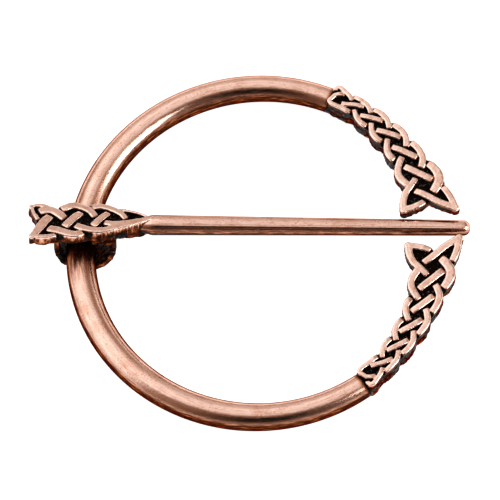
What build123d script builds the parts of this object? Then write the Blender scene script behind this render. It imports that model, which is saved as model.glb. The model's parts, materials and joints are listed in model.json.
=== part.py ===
"""Penannular cloak pin: an open hoop with knotwork terminals, and a loose knotwork-headed pin.

The hoop is worked in its own plane, with the ring's centre at the origin, the gap towards +X and the
plane at Z = 0.  The pin is worked along +X with the centre of the hoop's rod at the origin.  Both are
then set down on the surface that they lie on, with Z = 0 at that surface.  All lengths are millimetres.
"""
from build123d import *
from math import asin, atan2, cos, degrees, dist, hypot, radians, sin, sqrt, tan
import os

# Hoop
hoop_radius = 26.0
rod_radius = 2.15
rod_end_radius = 1.85
neck_radius = 1.25
neck_gap = 0.6
neck_length = 2.4

# Terminals, in the hoop's plane
gap_half_arc = 5.25
terminal_rows = 6
terminal_row = 3.22
terminal_row_growth = 0.16
terminal_half_width = 1.38
terminal_flare = 0.06
terminal_drift = 0.13
terminal_top = 2.8
terminal_back_near = -1.3
terminal_back_far = 0.7
terminal_lobes = (0.6, 0.44)
terminal_strand = 0.48
terminal_strand_growth = 0.08

# Plait
relief = 0.7
groove = 0.16
turn_round = 0.34
lobe_spread = 0.87
curve_steps = 3

# Pin
head_rows = 3
head_row = 4.05
head_half_width = 3.2
head_taper = 0.285
head_point = 10.3
head_thickness = 2.0
head_lobes = (0.17, 0.25)
head_strand = 0.98
head_clearance = 0.44
shank_radius = 1.5
shank_tip_radius = 1.13
shank_end = 56.4
tip_round = 0.95
root_start = 5.2
root_radius = 0.9

# Collar
collar_wall = 0.85
collar_width = 2.2
collar_half_bore = 3.65
collar_clearance = 0.15
collar_offset = 0.6
blade_reach = 2.6
blade_gap = 0.2

# How the pin lies on the hoop
crossing_angle = 172.84
pin_yaw = -5.04
pin_roll = -22.0

# The terminals are laid back from the gap along the hoop, so the gap stays as wide as it is.
terminal_length = terminal_row * terminal_rows + terminal_row_growth * terminal_rows ** 2 / 2
terminal_start = degrees((gap_half_arc + terminal_length) / hoop_radius)

# The rod passes slantwise between the head and the round bottom of the collar, because the pin is rolled.
roll = radians(pin_roll)
rod_half_height = rod_radius / cos(roll)
rod_rise = abs(tan(roll))
head_base = rod_half_height + head_half_width * rod_rise + head_clearance
shank_height = head_base + head_thickness - shank_radius
collar_room = collar_half_bore - rod_half_height - collar_clearance
collar_middle = sqrt(collar_room ** 2 - collar_offset ** 2) - collar_width / 2 * rod_rise


def rounded_turn(distance):
    """Height of a strand, in half widths, at this many rows from its turn at the edge."""
    distance = abs(distance)
    if distance < turn_round:
        return 1 - turn_round / 2 - distance ** 2 / (2 * turn_round)
    return 1 - distance


edge_turn = rounded_turn(0)


def steps(first, last, count):
    return [first + (last - first) * i / count for i in range(count + 1)]


def strip_path(k):
    """A strand that crosses the middle at row k, from edge column to edge column."""
    return [(s, s - k) for s in steps(k - 0.5, k + 0.5, 2 * curve_steps)]


def upper_path(k):
    """A strand that turns at the +Y edge at row k + 1 and comes back to the middle."""
    return [(s, rounded_turn(s - k - 1)) for s in steps(k + 0.5, k + 2, 3 * curve_steps)]


def lower_path(k):
    """A strand that leaves the middle at row k, turns at the -Y edge at row k + 1 and comes back in."""
    return [(s, -rounded_turn(s - k - 1)) for s in steps(k, k + 1.5, 3 * curve_steps)]


def smooth(points):
    """A smooth run through a few chosen (row, height) points."""
    ends = [points[0]] + points + [points[-1]]
    run = [points[0]]
    for a, b, c, d in zip(ends, ends[1:], ends[2:], ends[3:]):
        for u in steps(0, 1, curve_steps)[1:]:
            run.append(tuple(
                0.5 * (2 * q + (r - p) * u + (2 * p - 5 * q + 4 * r - v) * u ** 2
                       + (3 * q - p - 3 * r + v) * u ** 3)
                for p, q, r, v in zip(a, b, c, d)))
    return run


def ribbon(path, place, strand, extra=0.0):
    """The plan face of a strand along a path of (row, height) points."""
    middle = [place(s, t) for s, t in path]
    left = []
    right = []
    for i, (x, y) in enumerate(middle):
        before = middle[max(i - 1, 0)]
        after = middle[min(i + 1, len(middle) - 1)]
        dx = after[0] - before[0]
        dy = after[1] - before[1]
        half = strand(path[i][0]) / 2 + extra
        size = hypot(dx, dy)
        left.append((x - dy / size * half, y + dx / size * half))
        right.append((x + dy / size * half, y - dx / size * half))
    return make_face(Polyline(*(left + right[::-1]), close=True))


def strand_above(end, paths):
    """The stretch of another strand that passes over this end of a strand, or None."""
    for path in paths:
        for i, point in enumerate(path[1:-1], 1):
            if dist(point, end) < 1e-6:
                return path[max(i - curve_steps, 0):i + curve_steps + 1]
    return None


def plait(paths, tips, place, strand):
    """Raised strands of a plait and the plate under them, in plan.

    A strand that ends under the middle of another stops short of it by a groove.  tips are the rounded
    corners where two strands join.
    """
    strands = None
    outline = None
    for path in paths:
        face = ribbon(path, place, strand)
        outline = face if outline is None else outline + face
        others = [p for p in paths if p is not path]
        for end in (path[0], path[-1]):
            above = strand_above(end, others)
            if above:
                face = face - ribbon(above, place, strand, groove)
        strands = face if strands is None else strands + face
    for s, t in tips:
        tip = Pos(*place(s, t)) * Circle(strand(s) / 2)
        outline = outline + tip
        strands = strands + tip
    plate = max((Face(face.outer_wire()) for face in outline.faces()), key=lambda face: face.area)
    return strands, plate


def inner_rows(rows):
    """The strands of a plait's full rows, away from its ends."""
    paths = [strip_path(k) for k in range(1, rows)]
    paths += [upper_path(k) for k in range(rows - 1)]
    return paths + [lower_path(k) for k in range(1, rows - 1)]


def broad_end(rows, lobes):
    """The strands that close a plait in two pointed lobes, and the tips of the lobes."""
    far = (rows + lobes[0], lobe_spread)
    near = (rows + lobes[1], -lobe_spread)
    paths = [
        smooth([(rows - 0.5, -0.5), (rows, 0.0), (rows + 0.36, 0.48), far]),
        smooth([(rows - 0.5, 0.5), (rows - 0.14, 0.76), (rows + 0.26, 0.84), far]),
        lower_path(rows - 1)[:curve_steps + 1] + smooth([(rows - 0.2, -0.75), (rows + 0.1, -0.83), near]),
        smooth([(rows, 0.0), (rows + 0.16, -0.3), (rows + 0.28, -0.6), near]),
    ]
    return paths, [far, near]


def looped_end():
    """The strands that close a plait's narrow end in two small loops, and where the loops turn."""
    left = (0.0, 0.56)
    right = (0.0, -0.56)
    paths = [
        smooth([left, (0.14, 0.24), (0.5, 0.5)]),
        smooth([left, (0.14, 0.86), (0.5, 0.5), (1.0, 0.0)]),
        smooth([right, (0.14, -0.24), (0.5, -0.5), (1.0, -edge_turn), (1.5, -0.5)]),
        smooth([right, (0.14, -0.86), (0.5, -0.5)]),
    ]
    return paths, [left, right]


def pointed_end():
    """The strands that close a plait's narrow end in one long point, and the point."""
    point = (-1.0, 0.0)
    paths = [
        smooth([point, (-0.5, 0.42), (0.0, 0.68), (0.5, 0.5), (1.0, 0.0)]),
        smooth([point, (-0.5, -0.42), (0.0, -0.68), (0.5, -0.5)]),
        smooth([(0.0, 0.68), (0.12, 0.1), (0.5, -0.5), (1.0, -edge_turn), (1.5, -0.5)]),
    ]
    return paths, [point]


def make_plait(rows, lobes, narrow_end, place, strand):
    """Plan of a whole plait: its raised strands and the plate under them."""
    ends, tips = narrow_end
    lobes, lobe_tips = broad_end(rows, lobes)
    return plait(inner_rows(rows) + ends + lobes, tips + lobe_tips, place, strand)


def terminal_strand_width(s):
    return terminal_strand + terminal_strand_growth * max(s, 0)


def terminal_place(s, t):
    """Plan position on the upper terminal, whose middle follows the hoop."""
    along = terminal_row * s + terminal_row_growth * s ** 2 / 2
    half = terminal_half_width + terminal_flare * max(s, 0) ** 2 - terminal_strand_width(s) / 2
    angle = radians(terminal_start) - along / hoop_radius
    radius = hoop_radius - terminal_drift * s + t / edge_turn * half
    return radius * cos(angle), radius * sin(angle)


def make_terminal():
    """The upper terminal: a plate with a raised plait, thinner towards its broad end."""
    strands, plate = make_plait(terminal_rows, terminal_lobes, looped_end(), terminal_place, terminal_strand_width)
    terminal = extrude(Pos(0, 0, terminal_back_near) * plate, terminal_top - relief - terminal_back_near)
    terminal += extrude(Pos(0, 0, terminal_top - relief) * strands, relief)
    start = Vector(*terminal_place(0, 0))
    chord = Vector(*terminal_place(terminal_rows, 0)) - start
    rise = terminal_back_far - terminal_back_near
    back = Plane(
        origin=start + Vector(0, 0, terminal_back_near),
        x_dir=chord + Vector(0, 0, rise),
        z_dir=Vector(-chord.X * rise, -chord.Y * rise, chord.length ** 2),
    )
    return split(terminal, bisect_by=back, keep=Keep.TOP)


def rod_start_angle():
    """Angle from the gap, in degrees, at which the round rod begins."""
    return terminal_start + degrees(neck_gap / hoop_radius)


def rod_section(angle, radius):
    """A round section of the hoop at an angle in degrees from the gap."""
    a = radians(angle)
    middle = (hoop_radius * cos(a), hoop_radius * sin(a), 0)
    return Plane(origin=middle, x_dir=(cos(a), sin(a), 0), z_dir=(-sin(a), cos(a), 0)) * Circle(radius)


def make_hoop():
    """The hoop casting in its own plane: a tapering rod, a neck at each end and two terminals."""
    rod_start = rod_start_angle()
    sections = [
        rod_section(rod_start, rod_end_radius),
        rod_section(180, rod_radius),
        rod_section(360 - rod_start, rod_end_radius),
    ]
    path = CenterArc((0, 0), hoop_radius, rod_start, 360 - 2 * rod_start)
    rod = sweep(sections, path, multisection=True)
    neck_sweep = 2 * degrees(neck_length / hoop_radius)
    neck = revolve(rod_section(rod_start + neck_sweep / 2, neck_radius), Axis.Z, -neck_sweep)
    upper = make_terminal() + neck
    return rod + upper + mirror(upper, about=Plane.XZ)


def head_strand_width(s):
    return head_strand


def head_half(s):
    return head_half_width - head_taper * max(2 - s, 0) ** 2


def head_place(s, t):
    """Plan position on the pin's head, which points along +X to the shank."""
    half = max(head_half(s) - head_strand / 2, 0.05)
    return head_point - head_row * (s + 1), -t / edge_turn * half


def make_collar():
    """The strip bent round the hoop: a wall on the -X side, a round bottom and a tucked-in end."""
    under = head_base - blade_gap
    outer = collar_half_bore + collar_wall
    inner_left = (collar_offset - collar_half_bore, collar_middle)
    inner_right = (collar_offset + collar_half_bore, collar_middle)
    outer_left = (collar_offset - outer, collar_middle)
    outer_right = (collar_offset + outer, collar_middle)
    joined_left = (collar_offset - outer, head_base + collar_wall)
    blade_end = inner_right[0] - blade_reach
    profile = [
        Line(joined_left, outer_left),
        ThreePointArc(outer_left, (collar_offset, collar_middle - outer), outer_right),
        Polyline(outer_right, (outer_right[0], under), (blade_end, under), (blade_end, under - collar_wall),
                 (inner_right[0], under - collar_wall), inner_right),
        ThreePointArc(inner_right, (collar_offset, collar_middle - collar_half_bore), inner_left),
        Polyline(inner_left, (inner_left[0], joined_left[1]), joined_left),
    ]
    strip = Plane.XZ * make_face([edge for line in profile for edge in line.edges()])
    return extrude(strip, collar_width / 2, both=True)


def make_shank():
    """The round tapering shank with its blunt end, and the root that runs out under the head."""
    shoulder = shank_end - tip_round
    slope = (shank_radius - shank_tip_radius) / (shoulder - head_point)
    half_section = [
        Line((root_start, 0), (root_start, root_radius)),
        Line((root_start, root_radius), (head_point, shank_radius)),
        Line((head_point, shank_radius), (shoulder, shank_tip_radius)),
        JernArc((shoulder, shank_tip_radius), (1, -slope), tip_round, degrees(atan2(slope, 1)) - 90),
    ]
    end = half_section[-1] @ 1
    half_section += [Line(end, (end.X, 0)), Line((end.X, 0), (root_start, 0))]
    shank = revolve(Plane.XZ * make_face(Wire(half_section)), Axis.X)
    return Pos(0, 0, shank_height) * shank


def make_pin():
    """The pin casting along +X, with the middle of the hoop's rod at the origin."""
    strands, plate = make_plait(head_rows, head_lobes, pointed_end(), head_place, head_strand_width)
    head = extrude(Pos(0, 0, head_base) * plate, head_thickness - relief)
    head += extrude(Pos(0, 0, head_base + head_thickness - relief) * strands, relief)
    return head + make_shank() + make_collar()


def collar_drop(pitch):
    """How far the pitched and rolled collar reaches below the middle of the rod."""
    outer = collar_half_bore + collar_wall
    rolled = collar_middle * cos(roll) - collar_width / 2 * abs(sin(roll))
    round_bottom = outer * hypot(sin(pitch), cos(roll) * cos(pitch))
    return collar_offset * sin(pitch) - rolled * cos(pitch) + round_bottom


def tip_drop(pitch):
    """How far the pitched and rolled tip reaches below the middle of the rod."""
    height = shank_height * cos(roll) - shank_tip_radius + tip_round
    return (shank_end - tip_round) * sin(pitch) - height * cos(pitch) + tip_round


def lying_pitch():
    """The pin's slope, in radians, at which the collar and the tip touch the surface together."""
    low = 0.0
    high = 0.6
    for _ in range(40):
        middle = (low + high) / 2
        if tip_drop(middle) < collar_drop(middle):
            low = middle
        else:
            high = middle
    return middle


pitch = lying_pitch()
crossing = radians(crossing_angle)
drop = collar_drop(pitch)
reach = hoop_radius * (cos(radians(rod_start_angle())) - cos(crossing))
tilt = asin((drop - rod_end_radius) / reach)
hoop_height = drop + hoop_radius * cos(crossing) * sin(tilt)

# The hoop leans on the collar at its left and on the ends of its rod at its right.
lean = Pos(0, 0, hoop_height) * Rot(0, degrees(tilt), 0)
hoop = lean * make_hoop()
hinge = (lean * Pos(hoop_radius * cos(crossing), hoop_radius * sin(crossing), 0)).position
hinge_axis = (Rot(0, degrees(tilt), 0) * Pos(-sin(crossing), cos(crossing), 0)).position
lying = Pos(hinge) * Rot(0, 0, pin_yaw) * Rot(0, degrees(pitch), 0) * Rot(pin_roll, 0, 0)
pin = lying * make_pin()

# The origin is under the middle of the whole, on the surface.
box = Compound([hoop, pin]).bounding_box()
ground = Pos(-box.center().X, -box.center().Y, -box.min.Z)
hoop = ground * hoop
pin = ground * pin
hinge = (ground * Pos(hinge)).position
hoop.label = "hoop"
pin.label = "pin"

os.makedirs("parts", exist_ok=True)
export_step(hoop, "parts/hoop.step")
export_step(pin, "parts/pin.step")
print("hoop's centre", tuple(round(v, 4) for v in (ground * lean).position), "tilt", round(degrees(tilt), 3))
print("hinge", tuple(round(v, 4) for v in hinge), "axis", tuple(round(v, 5) for v in hinge_axis))
print("pin's pitch", round(degrees(pitch), 3))
shank = ground * lying * Pos((head_point + shank_end) / 2, 0, shank_height)
along = (lying * Pos(1, 0, 0)).position - (lying * Pos(0, 0, 0)).position
print("shank", tuple(round(v, 3) for v in shank.position), "along", tuple(round(v, 5) for v in along))
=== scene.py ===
"""Cloak pin: a ring of round rod that ends in two plaited terminals, and a plaited pin that swings on it."""

import json
import math

import bpy
import numpy as np
from mathutils import Matrix, Vector, noise


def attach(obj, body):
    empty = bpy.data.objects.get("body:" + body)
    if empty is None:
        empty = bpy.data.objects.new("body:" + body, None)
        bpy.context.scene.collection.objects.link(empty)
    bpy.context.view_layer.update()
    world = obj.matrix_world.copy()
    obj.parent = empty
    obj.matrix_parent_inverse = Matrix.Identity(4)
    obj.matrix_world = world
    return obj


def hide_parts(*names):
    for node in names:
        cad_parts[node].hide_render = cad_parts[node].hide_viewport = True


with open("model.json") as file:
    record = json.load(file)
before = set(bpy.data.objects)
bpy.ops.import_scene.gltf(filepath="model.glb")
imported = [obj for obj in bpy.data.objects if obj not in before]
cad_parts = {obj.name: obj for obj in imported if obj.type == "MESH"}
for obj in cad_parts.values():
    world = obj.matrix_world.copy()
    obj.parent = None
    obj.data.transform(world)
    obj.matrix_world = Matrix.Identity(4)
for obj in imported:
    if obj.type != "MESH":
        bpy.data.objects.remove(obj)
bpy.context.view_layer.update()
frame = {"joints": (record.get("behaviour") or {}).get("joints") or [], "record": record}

bl_info = {
    "name": "Cloak Pin",
    "version": (1, 0, 0),
    "blender": (4, 5, 0),
    "location": "3D View > Sidebar > Cloak Pin",
    "description": "Models a cast ring brooch with plaited terminals and its loose pin",
    "category": "Add Mesh",
}

# The pieces are shaped in millimetres, and made small when they are set down in their place.
MILLIMETRE = 0.001

# The hinge lies in the middle of the rod where the pin crosses it.  Its axis is the rod's own direction
# there, and gives the ring's lean and the crossing's angle from the gap, in radians.
HINGE = Vector(frame["joints"][0]["pos_m"]) / MILLIMETRE
ROD_WAY = Vector(frame["joints"][0]["axis"])
RING_TILT = math.atan2(ROD_WAY.z, -ROD_WAY.x)
PIN_CROSSING = math.atan2(math.hypot(ROD_WAY.x, ROD_WAY.z), ROD_WAY.y)
# The shank's mount points along the pin.
SHANK_WAY = Vector(frame["record"]["mounts"][0]["axis"])
PIN_YAW = math.atan2(SHANK_WAY.y, SHANK_WAY.x)
PIN_PITCH = -math.asin(SHANK_WAY.z)
# The pin lies rolled about its length, because its collar is too deep to stand upright.  That lifts an
# edge by ROLL_RISE for each millimetre off the middle.
PIN_ROLL = math.radians(-22)
ROLL_RISE = abs(math.tan(PIN_ROLL))

# Where the mould's seam lies round the shank, in radians from the pin's own left.
SEAM_TURN = math.radians(142)

# How finely round sections, bends and strands are drawn.
ROUND_SIDES = 56
ROD_STEPS = 220
NECK_STEPS = 12
COLLAR_STEPS = 40
ROOT_STEPS = 8
SHANK_STEPS = 24
SHANK_TIP_STEPS = 9
STRAND_STEPS = 8
TIP_SIDES = 20
# Points nearer than this become one, in millimetres.
MERGE_DISTANCE = 0.0005
# A casting is melted together on a grid this fine, in millimetres, then smoothed and thinned.
CAST_GRAIN = 0.08
CAST_SMOOTHING = 2
CAST_TRIANGLES = 160000

# Half a strand's section: how far out from its middle, and how far below its top, both in half widths.
STRAND_SIDE = [(0, 0), (0.45, 0.0), (0.8, 0.05), (0.94, 0.18), (1, 0.42)]
# In millimetres, a strand slopes down by ARCH towards where it passes under another.  Near the other's
# edge, which it clears by DIP_ROOM, it drops by DIP more.
ARCH = 0.14
ARCH_LENGTH = 1.3
DIP = 0.6
DIP_LENGTH = 0.34
DIP_ROOM = 0.06

# The terminal's plait: its row, half the width between its edge strands, and how far its middle is
# shifted outwards from the ring's circle, the last two in millimetres.
TERMINAL_ROWS = 6
TERMINAL_WIDTHS = [(0.0, 1.15, 0.0), (1.4, 1.14, -0.27), (2.5, 1.4, -0.53), (3.4, 1.54, -0.56),
                   (4.5, 1.84, -0.7), (5.4, 2.42, -0.74), (6.2, 2.95, -0.78), (6.8, 3.3, -0.8)]
# Where its strands cross in row 0, as (row, part of the half width).
MIDDLE_CROSSING = (0.13, 0.1)
OUTER_CROSSING = (0.75, 0.88)
INNER_CROSSING = (0.42, -0.8)
# The height of its back over the ring's plane at its narrow and its wide end, in millimetres.
TERMINAL_BACK_NEAR = -1.3
TERMINAL_BACK_FAR = 0.7

# Where the head's strands cross or meet, in millimetres along the pin and across it.
BACK_TIP = (-7.15, 2.2)
FRONT_TIP = (-6.95, -3.75)
HEAD_POINT = (9.9, 0.0)
BACK_LEFT = (-3.75, 1.28)
BACK_MIDDLE = (0.6, 2.0)
BACK_RIGHT = (4.5, 1.85)
CENTRE_FIRST = (-5.6, -1.45)
CENTRE_LEFT = (-1.6, -0.78)
CENTRE_RIGHT = (2.6, -0.42)
CENTRE_LAST = (6.75, -0.85)
FRONT_LEFT = (-2.85, -2.72)
FRONT_RIGHT = (1.0, -2.25)
# The head's strands from left to right.  One ends at a point inside another where it passes under it.
HEAD_STRANDS = [
    [(-6.78, 0.85), (-6.1, 1.2), (-5.3, 1.52), (-4.4, 1.55), BACK_LEFT, (-3.1, 0.75), (-2.42, 0.0),
     CENTRE_LEFT],
    [FRONT_TIP, (-6.36, -2.9), CENTRE_FIRST, (-5.3, -0.85), (-4.72, 0.0), BACK_LEFT],
    [CENTRE_FIRST, (-4.37, -2.2), (-3.5, -2.48), FRONT_LEFT, (-1.6, -3.2), (-0.7, -3.35), (0.2, -2.95),
     FRONT_RIGHT],
    [FRONT_LEFT, (-2.37, -1.88), CENTRE_LEFT, (-0.8, 0.25), (-0.2, 0.9), BACK_MIDDLE],
    [BACK_LEFT, (-1.76, 2.4), (-0.75, 2.55), BACK_MIDDLE, (1.35, 1.45), (1.8, 0.8), CENTRE_RIGHT],
    [FRONT_RIGHT, (2.0, -1.21), CENTRE_RIGHT, (3.15, 0.25), (3.7, 0.85), BACK_RIGHT],
    [CENTRE_LEFT, (-0.07, -1.85), FRONT_RIGHT, (2.1, -2.48), (3.4, -2.42), (4.6, -2.0), (6.6, -1.35),
     (8.3, -0.7), HEAD_POINT],
    [BACK_MIDDLE, (2.5, 2.42), (3.7, 2.2), BACK_RIGHT, (5.3, 1.35), (6.0, 0.7), (6.55, -0.2), CENTRE_LAST],
    [CENTRE_RIGHT, (3.95, -1.02), (5.0, -1.12), CENTRE_LAST, (8.3, -0.45), HEAD_POINT],
]
# The narrow rims that close the head's corners, and their width as a part of a strand's.
HEAD_RIMS = [
    [BACK_TIP, (-6.95, 1.4), (-6.78, 0.85), (-6.35, 0.05), CENTRE_FIRST],
    [BACK_TIP, (-6.3, 2.5), (-5.4, 2.4), (-4.6, 2.05), BACK_LEFT],
    [FRONT_TIP, (-5.75, -3.92), (-4.6, -3.85), (-3.6, -3.45), FRONT_LEFT],
    [BACK_RIGHT, (6.0, 1.62), (7.8, 1.18), (9.1, 0.6), HEAD_POINT],
]
RIM_FACTOR = 0.48
HEAD_OUTLINE = (
    HEAD_RIMS[1] + HEAD_STRANDS[4][1:4]
    + [(2.5, 2.42), BACK_RIGHT, (6.0, 1.55), (7.8, 1.1), (9.1, 0.55), HEAD_POINT]
    + HEAD_STRANDS[6][7:1:-1] + HEAD_STRANDS[2][6:2:-1] + HEAD_RIMS[2][3::-1] + HEAD_STRANDS[1][1:3]
    + [(-6.35, 0.05), (-6.75, 1.15)])
# The head's strands narrow by this part with each millimetre along, and widen from half to full between
# these places.
HEAD_TAPER = 0.04
HEAD_TIPS_WIDEN = (-7.3, -5.6)
# Its back sinks to the shank between these places, and rises between these distances from its middle.
HEAD_KEEL = (3.2, 9.7)
HEAD_MIDDLE = -0.4
HEAD_RIM = (2.4, 3.6)
HEAD_RIM_RISE = 0.5

# How far below the head's back the collar's far edge flares and its end sticks out: start and full.
FLARE_DEPTHS = (0.2, 1.4)
BLADE_DEPTHS = (3.5, 1.2)
COLLAR_BEVEL = 0.16
ROD_END_BEVEL = 0.35

# The wear of a flat face, and the painted shade blackening the collar's bore and the shank's underside, up to
# 1.
FLAT_WEAR = 0.3
BORE_SHADE = 0.27
SHANK_UNDERSIDE_SHADE = 0.34
# The blackening of the necks, and of the rod where it meets the plait, up to 1. At the rod's end it is
# painted shade under the plait as well as patina.
NECK_RECESS = 0.8
ROD_END_PATINA_AND_SHADE = 0.75
# Painted shade: the rod gets darker from the first to the second of each pair: distance from its end, and
# along it from the pin's crossing, in millimetres, and angle round it from its top, in degrees.
ROD_END_SHADE = (1.725, 0.225)
ROD_CROSSING_SHADE = (6.875, 1.375)
ROD_STEEP_SHADE = (44, 62)
# Streaks run round the rod and the shank as on bars of these radii, in millimetres.
ROD_STREAK_RADIUS = 2
SHANK_STREAK_RADIUS = 1.4
# The lumps of a casting's skin on its top, and how much higher they are on its sides, in millimetres.
TOP_LUMPS = 0.03
SIDE_LUMPS = 0.09

# The camera's place and turn against the ring's own plane, in degrees and millimetres.
CAMERA_ELEVATION = 66.34
CAMERA_AZIMUTH = 0.53
CAMERA_ROLL = -6.17
CAMERA_DISTANCE = 500
CAMERA_TARGET = (-1.38, 0.08, 0.0)
CAMERA_LENS = 247.95

# The square soft boxes: name, place and side in millimetres, and power in watts.
LAMPS = [("key", (-220, 140, 430), 400, 0.14), ("side", (385, -170, 245), 290, 1.05)]
# The tent's even light, its tint where dim and bright, and its patches: direction, angles from it in
# degrees at which they end and are full, and strength.
TENT_LIGHT = 0.33
TENT_DIM = (1.0, 0.6, 0.38, 1.0)
TENT_BRIGHT = (1.0, 0.985, 0.97, 1.0)
TENT_PATCHES = [((-0.3, 0.1, 0.92), 58, 30, 0.5), ((-1.0, -0.25, 0.2), 46, 30, 0.5),
                ((-0.1, 1.0, 0.5), 38, 20, 0.3)]


def length(name, description, default):
    return bpy.props.FloatProperty(
        name=name, description=description, default=default, min=0.0, unit="LENGTH", subtype="DISTANCE",
        precision=5)


def colour(name, description, default):
    return bpy.props.FloatVectorProperty(
        name=name, description=description, default=default, size=4, min=0.0, max=1.0, subtype="COLOR")


class RingSizes(bpy.types.PropertyGroup):
    ring_radius: length("Ring radius", "From the ring's centre to the middle of its rod", 0.026)
    rod_radius: length("Rod radius", "Radius of the rod opposite the gap", 0.00215)
    rod_end_radius: length("Rod end radius", "Radius of the rod where it meets the terminals", 0.00185)
    neck_radius: length("Neck radius", "Radius of the thin neck between rod and terminal", 0.00125)
    rod_tuck: length("Rod tuck", "How far the rod's end reaches under the plait", 0.0006)
    neck_length: length("Neck length", "How far the neck reaches each way from the groove", 0.0024)


class TerminalSizes(bpy.types.PropertyGroup):
    gap_half_arc: length("Half gap", "Half of the opening between the terminals, along the ring", 0.00525)
    row: length("Row", "Length of the plait's first row", 0.00322)
    row_growth: length("Row growth", "How much longer each row is than the one before", 0.00016)
    top: length("Top", "Height of the plait over the ring's plane", 0.0028)
    strand: length("Strand", "Width of a strand at the narrow end", 0.00064)
    strand_growth: length("Strand growth", "How much wider the strand gets with each row", 0.00009)
    relief: length("Relief", "Height of the strands over their ground", 0.0007)


class PinSizes(bpy.types.PropertyGroup):
    half_width: length("Half width", "Half width of the head", 0.0032)
    point: length("Point", "Where the head's point ends on the shank", 0.0103)
    thickness: length("Thickness", "Thickness of the head with its strands", 0.002)
    strand: length("Strand", "Width of the head's strands under its middle", 0.00122)
    relief: length("Relief", "Height of the strands over their ground", 0.0007)
    shank_radius: length("Shank radius", "Radius of the shank next to the head", 0.0015)
    tip_radius: length("Tip radius", "Radius of the shank just before its tip", 0.00113)
    shank_end: length("Shank end", "From the rod's middle to the end of the tip", 0.0564)
    tip_round: length("Tip rounding", "Radius of the rounding at the tip", 0.00095)
    root_start: length("Root start", "Where the shank's root begins under the head", 0.0068)
    root_radius: length("Root radius", "Radius of the shank's root", 0.00045)
    seam: length("Seam", "Height of the mould's seam along the shank", 0.00007)
    collar_wall: length("Collar wall", "Thickness of the strip bent round the rod", 0.00085)
    collar_width: length("Collar width", "Width of the strip bent round the rod", 0.0022)
    collar_half_bore: length("Collar half bore", "Inner radius of the collar's round bottom", 0.00365)
    collar_clearance: length("Collar clearance", "Room between the rod and the round bottom", 0.00015)
    collar_offset: length("Collar offset", "How far the collar sits towards the shank", 0.0006)
    head_clearance: length("Head clearance", "Room between the rod and the head", 0.00044)
    collar_flare: length("Collar flare", "How much wider the strip's far edge runs out under the rod", 0.0018)
    blade_reach: length("Blade reach", "How far the strip's end is tucked in", 0.0026)
    blade_front: length("Blade front", "How much further to the front the tucked end sticks out", 0.0016)
    blade_gap: length("Blade gap", "Room between the tucked end and the head", 0.0002)


class Finish(bpy.types.PropertyGroup):
    copper: colour("Copper", "The copper plate", (0.88, 0.6, 0.5, 1.0))
    worn_copper: colour("Worn copper", "Paler copper along worn edges", (0.97, 0.77, 0.68, 1.0))
    # Deep copper is also the painted shade low on the sides and under the shank.
    deep_copper_and_shade: colour("Deep copper", "Darker, redder copper out of reach of wear", (0.5, 0.17, 0.065, 1.0))
    # Tarnish patches also grow lower on the sides as painted shade.
    tarnish_and_shade: colour("Tarnish", "Brown tarnish low on the sides", (0.08, 0.021, 0.007, 1.0))
    patina: colour("Patina", "Blackening in the recesses", (0.006, 0.004, 0.003, 1.0))
    # The grey specks are painted glints in the blackened ground.
    glint_speck: colour("Specks", "Grey specks in the blackened ground", (0.2, 0.17, 0.16, 1.0))
    floor: colour("Floor", "The studio's floor", (0.8, 0.8, 0.8, 1.0))


class Sizes:
    """A property group's lengths, in millimetres."""

    def __init__(self, group):
        for name in group.__annotations__:
            setattr(self, name, getattr(group, name) / MILLIMETRE)


def sizes(kind):
    """The lengths of the ring, the terminal or the pin."""
    return Sizes(getattr(bpy.context.scene, "cloak_pin_" + kind))


def on_ring(ring, angle):
    """A point of the circle through the rod's middle, at an angle from the gap in radians."""
    return Vector((ring.ring_radius * math.cos(angle), ring.ring_radius * math.sin(angle), 0))


def ring_place():
    """From the ring's own plane and centre to where it lies."""
    to_crossing = Matrix.Translation(-on_ring(sizes("ring"), PIN_CROSSING))
    return Matrix.Translation(HINGE) @ Matrix.Rotation(RING_TILT, 4, "Y") @ to_crossing


def pin_place():
    """From the pin's own axes, with the rod's middle at their origin, to where it lies."""
    turn = Matrix.Rotation(PIN_YAW, 4, "Z") @ Matrix.Rotation(PIN_PITCH, 4, "Y")
    return Matrix.Translation(HINGE) @ turn @ Matrix.Rotation(PIN_ROLL, 4, "X")


def smoothstep(x, low, high):
    """0 at low and 1 at high, eased at both."""
    part = min(max((x - low) / (high - low), 0.0), 1.0)
    return part * part * (3 - 2 * part)


def ramp(values, low, high):
    """0 at low and 1 at high, with a straight run between."""
    return np.clip((values - low) / (high - low), 0, 1)


# Blender helpers

def deselect():
    """Leaves edit mode and selects nothing."""
    if bpy.context.object and bpy.context.object.mode != "OBJECT":
        bpy.ops.object.mode_set(mode="OBJECT")
    bpy.ops.object.select_all(action="DESELECT")


def make_active(obj):
    deselect()
    obj.select_set(True)
    bpy.context.view_layer.objects.active = obj


def edit(obj):
    make_active(obj)
    bpy.ops.object.mode_set(mode="EDIT")


def new_piece(name):
    """Names the object that an operator has just added."""
    obj = bpy.context.object
    obj.name = name
    obj.data.name = name
    return obj


def add_object(name, data):
    obj = bpy.data.objects.new(name, data)
    bpy.context.scene.collection.objects.link(obj)
    return obj


def piece_from(name, verts, faces):
    """A new object from points and faces."""
    mesh = bpy.data.meshes.new(name)
    mesh.from_pydata(verts, [], faces)
    mesh.update()
    return add_object(name, mesh)


def pick_faces(obj, test):
    """Goes into edit mode with just those faces selected whose middle and normal pass a test."""
    make_active(obj)
    mesh = obj.data
    mesh.vertices.foreach_set("select", [False] * len(mesh.vertices))
    mesh.edges.foreach_set("select", [False] * len(mesh.edges))
    for face in mesh.polygons:
        face.select = test(face.center, face.normal)
    bpy.ops.object.mode_set(mode="EDIT")
    bpy.ops.mesh.select_mode(type="FACE")


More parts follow.
